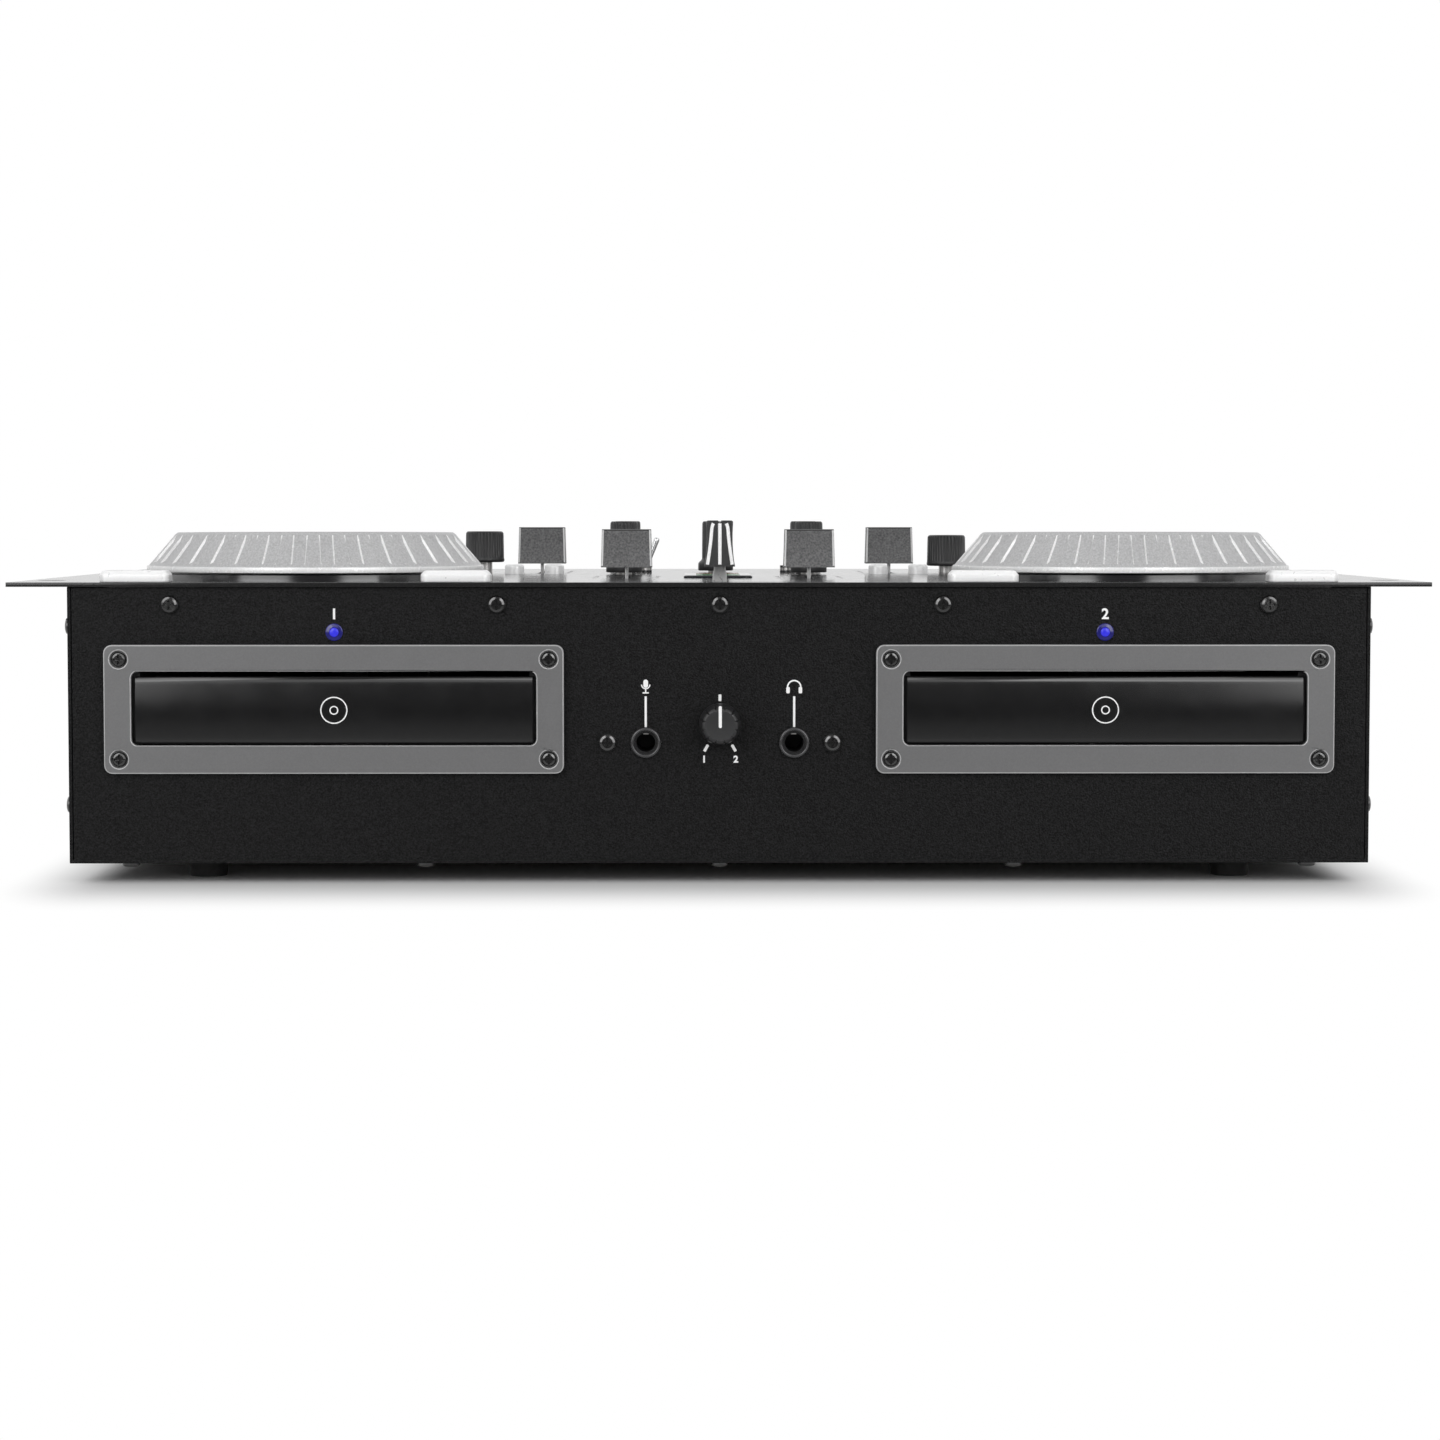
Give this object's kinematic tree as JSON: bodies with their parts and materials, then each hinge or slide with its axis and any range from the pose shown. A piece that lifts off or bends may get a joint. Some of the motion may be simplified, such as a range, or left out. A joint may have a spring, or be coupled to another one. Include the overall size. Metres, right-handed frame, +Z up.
{
  "type": "dual cd player for dj",
  "caption": "Rack-width disc player console with sliding disc trays in front, jog wheels, faders, rotary knobs and a mixer section on top.",
  "frame": {"origin": "under the middle of the rack panel, at the level of the soles of the feet", "axes": "+X to the user's right, +Y away from the user, +Z up"},
  "size_m": [0.4826, 0.3294, 0.1234],
  "materials": {
    "panel_black": "fine orange-peel powder coat",
    "bezel_grey": "matte grey paint",
    "gloss_black": "polished black",
    "tray_plastic": "moulded black",
    "silver_plastic": "satin silver paint on plastic",
    "screw_black": "black oxide steel",
    "bare_steel": "bare",
    "chrome": "polished",
    "knob_black": "moulded",
    "cap_grey": "moulded, grained",
    "rubber": "matte",
    "lamp_blue": "translucent",
    "window": "clear over dark",
    "white_plastic": "moulded",
    "board_green": "lacquered board",
    "core_steel": "laminated",
    "socket_mix": "black shell"
  },
  "bodies": {
    "root": {"top_plate": "panel_black", "base_pan": "panel_black", "front_panel": "panel_black", "rear_panel": "panel_black", "tray_bezel_left": "bezel_grey", "tray_bezel_right": "bezel_grey", "bezel_screws": "screw_black", "case_screws": "screw_black", "rubber_feet": "rubber", "jog_pads_left": "silver_plastic", "jog_pads_right": "silver_plastic", "jog_bearings": "gloss_black", "display_windows": "window", "front_jacks": "socket_mix", "status_lamps": "lamp_blue", "loader_frame_left": "tray_plastic", "loader_frame_right": "tray_plastic", "spindle_motors": "bare_steel", "pickup_guide_rods": "bare_steel", "circuit_boards": "board_green", "power_transformer": "core_steel", "rear_sockets": "socket_mix", "mains_inlet": "socket_mix", "control_housings": "bare_steel"},
    "tray_left": {"tray_left": "tray_plastic", "tray_front_left": "gloss_black"},
    "tray_gear_left": {"tray_gear_left": "white_plastic"},
    "disc_spindle_left": {"disc_spindle_left": "tray_plastic"},
    "laser_pickup_left": {"laser_pickup_left": "bare_steel"},
    "jog_wheel_left": {"jog_wheel_left": "silver_plastic"},
    "channel_fader_left": {"channel_fader_left": "cap_grey"},
    "pitch_fader_left": {"pitch_fader_left": "cap_grey"},
    "track_knob_left": {"track_knob_left": "knob_black"},
    "tone_knob_left": {"tone_knob_left": "knob_black"},
    "gain_knob_left": {"gain_knob_left": "knob_black"},
    "input_toggle_left": {"input_toggle_left": "chrome"},
    "bend_minus_button_left": {"bend_minus_button_left": "silver_plastic"},
    "bend_plus_button_left": {"bend_plus_button_left": "silver_plastic"},
    "play_button_left": {"play_button_left": "silver_plastic"},
    "cue_button_left": {"cue_button_left": "silver_plastic"},
    "tray_right": {"tray_right": "tray_plastic", "tray_front_right": "gloss_black"},
    "tray_gear_right": {"tray_gear_right": "white_plastic"},
    "disc_spindle_right": {"disc_spindle_right": "tray_plastic"},
    "laser_pickup_right": {"laser_pickup_right": "bare_steel"},
    "jog_wheel_right": {"jog_wheel_right": "silver_plastic"},
    "channel_fader_right": {"channel_fader_right": "cap_grey"},
    "pitch_fader_right": {"pitch_fader_right": "cap_grey"},
    "track_knob_right": {"track_knob_right": "knob_black"},
    "tone_knob_right": {"tone_knob_right": "knob_black"},
    "gain_knob_right": {"gain_knob_right": "knob_black"},
    "input_toggle_right": {"input_toggle_right": "chrome"},
    "bend_minus_button_right": {"bend_minus_button_right": "silver_plastic"},
    "bend_plus_button_right": {"bend_plus_button_right": "silver_plastic"},
    "play_button_right": {"play_button_right": "silver_plastic"},
    "cue_button_right": {"cue_button_right": "silver_plastic"},
    "crossfader": {"crossfader": "cap_grey"},
    "cue_mix_knob": {"cue_mix_knob": "knob_black"},
    "master_knob": {"master_knob": "knob_black"},
    "power_rocker": {"power_rocker": "knob_black"}
  },
  "joints": [
    {"name": "tray_left_slide", "type": "slide", "parent": "root", "child": "tray_left", "axis": [0, -1, 0], "range_m": [0, 0.14]},
    {"name": "tray_gear_left_spin", "type": "hinge", "parent": "root", "child": "tray_gear_left", "pos_m": [-0.1707, -0.1352, 0.052], "axis": [0, 0, 1], "range_deg": [-803, 0]},
    {"name": "disc_spindle_left_spin", "type": "hinge", "parent": "root", "child": "disc_spindle_left", "pos_m": [-0.1307, -0.0852, 0.055], "axis": [0, 0, 1], "continuous": true},
    {"name": "laser_pickup_left_slide", "type": "slide", "parent": "root", "child": "laser_pickup_left", "axis": [0, 1, 0], "range_m": [0, 0.033]},
    {"name": "jog_wheel_left_spin", "type": "hinge", "parent": "root", "child": "jog_wheel_left", "pos_m": [-0.1442, -0.0822, 0.105], "axis": [0, 0, 1], "continuous": true},
    {"name": "channel_fader_left_slide", "type": "slide", "parent": "root", "child": "channel_fader_left", "axis": [0, 1, 0], "range_m": [-0.0225, 0.0225]},
    {"name": "pitch_fader_left_slide", "type": "slide", "parent": "root", "child": "pitch_fader_left", "axis": [0, 1, 0], "range_m": [-0.03, 0.03]},
    {"name": "track_knob_left_turn", "type": "hinge", "parent": "root", "child": "track_knob_left", "pos_m": [-0.0922, 0.0608, 0.11], "axis": [0, 0, 1], "continuous": true},
    {"name": "tone_knob_left_turn", "type": "hinge", "parent": "root", "child": "tone_knob_left", "pos_m": [-0.0357, 0.0168, 0.11], "axis": [0, 0, -1], "range_deg": [-150, 150]},
    {"name": "gain_knob_left_turn", "type": "hinge", "parent": "root", "child": "gain_knob_left", "pos_m": [-0.0357, 0.0818, 0.11], "axis": [0, 0, -1], "range_deg": [-150, 150]},
    {"name": "input_toggle_left_tilt", "type": "hinge", "parent": "root", "child": "input_toggle_left", "pos_m": [-0.0285, 0.0498, 0.1025], "axis": [0, 1, 0], "range_deg": [-42, 0]},
    {"name": "bend_minus_button_left_press", "type": "slide", "parent": "root", "child": "bend_minus_button_left", "axis": [0, 0, -1], "range_m": [0, 0.0012], "stiffness_N_per_m": 300, "springref_m": -0.002},
    {"name": "bend_plus_button_left_press", "type": "slide", "parent": "root", "child": "bend_plus_button_left", "axis": [0, 0, -1], "range_m": [0, 0.0012], "stiffness_N_per_m": 300, "springref_m": -0.002},
    {"name": "play_button_left_press", "type": "slide", "parent": "root", "child": "play_button_left", "axis": [0, 0, -1], "range_m": [0, 0.0012], "stiffness_N_per_m": 300, "springref_m": -0.002},
    {"name": "cue_button_left_press", "type": "slide", "parent": "root", "child": "cue_button_left", "axis": [0, 0, -1], "range_m": [0, 0.0012], "stiffness_N_per_m": 300, "springref_m": -0.002},
    {"name": "tray_right_slide", "type": "slide", "parent": "root", "child": "tray_right", "axis": [0, -1, 0], "range_m": [0, 0.14]},
    {"name": "tray_gear_right_spin", "type": "hinge", "parent": "root", "child": "tray_gear_right", "pos_m": [0.0907, -0.1352, 0.052], "axis": [0, 0, 1], "range_deg": [-803, 0]},
    {"name": "disc_spindle_right_spin", "type": "hinge", "parent": "root", "child": "disc_spindle_right", "pos_m": [0.1307, -0.0852, 0.055], "axis": [0, 0, 1], "continuous": true},
    {"name": "laser_pickup_right_slide", "type": "slide", "parent": "root", "child": "laser_pickup_right", "axis": [0, 1, 0], "range_m": [0, 0.033]},
    {"name": "jog_wheel_right_spin", "type": "hinge", "parent": "root", "child": "jog_wheel_right", "pos_m": [0.1442, -0.0822, 0.105], "axis": [0, 0, 1], "continuous": true},
    {"name": "channel_fader_right_slide", "type": "slide", "parent": "root", "child": "channel_fader_right", "axis": [0, 1, 0], "range_m": [-0.0225, 0.0225]},
    {"name": "pitch_fader_right_slide", "type": "slide", "parent": "root", "child": "pitch_fader_right", "axis": [0, 1, 0], "range_m": [-0.03, 0.03]},
    {"name": "track_knob_right_turn", "type": "hinge", "parent": "root", "child": "track_knob_right", "pos_m": [0.0922, 0.0608, 0.11], "axis": [0, 0, 1], "continuous": true},
    {"name": "tone_knob_right_turn", "type": "hinge", "parent": "root", "child": "tone_knob_right", "pos_m": [0.0357, 0.0168, 0.11], "axis": [0, 0, -1], "range_deg": [-150, 150]},
    {"name": "gain_knob_right_turn", "type": "hinge", "parent": "root", "child": "gain_knob_right", "pos_m": [0.0357, 0.0818, 0.11], "axis": [0, 0, -1], "range_deg": [-150, 150]},
    {"name": "input_toggle_right_tilt", "type": "hinge", "parent": "root", "child": "input_toggle_right", "pos_m": [0.0285, 0.0498, 0.1025], "axis": [0, 1, 0], "range_deg": [-42, 0]},
    {"name": "bend_minus_button_right_press", "type": "slide", "parent": "root", "child": "bend_minus_button_right", "axis": [0, 0, -1], "range_m": [0, 0.0012], "stiffness_N_per_m": 300, "springref_m": -0.002},
    {"name": "bend_plus_button_right_press", "type": "slide", "parent": "root", "child": "bend_plus_button_right", "axis": [0, 0, -1], "range_m": [0, 0.0012], "stiffness_N_per_m": 300, "springref_m": -0.002},
    {"name": "play_button_right_press", "type": "slide", "parent": "root", "child": "play_button_right", "axis": [0, 0, -1], "range_m": [0, 0.0012], "stiffness_N_per_m": 300, "springref_m": -0.002},
    {"name": "cue_button_right_press", "type": "slide", "parent": "root", "child": "cue_button_right", "axis": [0, 0, -1], "range_m": [0, 0.0012], "stiffness_N_per_m": 300, "springref_m": -0.002},
    {"name": "crossfader_slide", "type": "slide", "parent": "root", "child": "crossfader", "axis": [1, 0, 0], "range_m": [-0.0225, 0.0225]},
    {"name": "cue_mix_knob_turn", "type": "hinge", "parent": "root", "child": "cue_mix_knob", "pos_m": [0, -0.1532, 0.0545], "axis": [0, 1, 0], "range_deg": [-150, 150]},
    {"name": "master_knob_turn", "type": "hinge", "parent": "root", "child": "master_knob", "pos_m": [0, 0.0638, 0.11], "axis": [0, 0, -1], "range_deg": [-150, 150]},
    {"name": "power_rocker_tilt", "type": "hinge", "parent": "root", "child": "power_rocker", "pos_m": [-0.13, 0.1512, 0.0482], "axis": [1, 0, 0], "range_deg": [-16, 0]}
  ],
  "couplings": [
    {"joint": "tray_gear_left_spin", "follows": "tray_left_slide", "rad_per_m": -100},
    {"joint": "tray_gear_right_spin", "follows": "tray_right_slide", "rad_per_m": -100}
  ]
}
